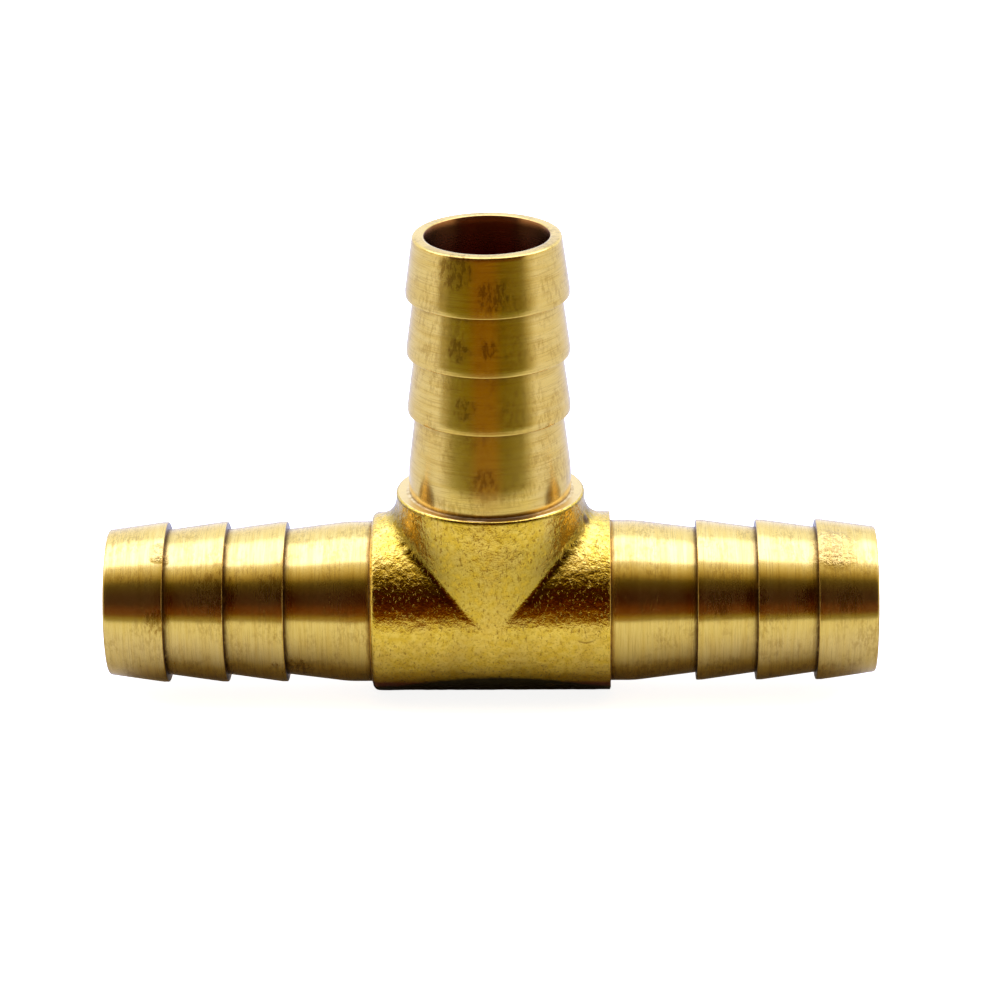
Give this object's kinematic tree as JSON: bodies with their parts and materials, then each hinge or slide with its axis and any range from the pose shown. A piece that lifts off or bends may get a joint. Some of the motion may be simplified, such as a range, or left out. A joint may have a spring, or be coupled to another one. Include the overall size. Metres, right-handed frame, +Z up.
{
  "type": "barbed tee connector",
  "caption": "Brass tee whose level run and upright branch each end in a ribbed stem that pushes into a hose, with one open waterway through all of them.",
  "frame": {"origin": "where the axes of the run and the branch cross, in the middle of the waterway", "axes": "+X along the run, +Z up the branch, +Y through the tee from front to back"},
  "size_m": [0.1002, 0.0234, 0.062],
  "materials": {
    "forged_brass": "hot-forged and pickled skin, finely mottled",
    "turned_brass": "turned on a lathe, with fine feed marks round the axis",
    "braze_alloy": "smooth, as it flowed"
  },
  "bodies": {
    "root": {"tee_body": "forged_brass", "left_barb_stem": "turned_brass", "right_barb_stem": "turned_brass", "branch_barb_stem": "turned_brass", "left_braze_ring": "braze_alloy", "right_braze_ring": "braze_alloy", "branch_braze_ring": "braze_alloy"}
  },
  "joints": []
}
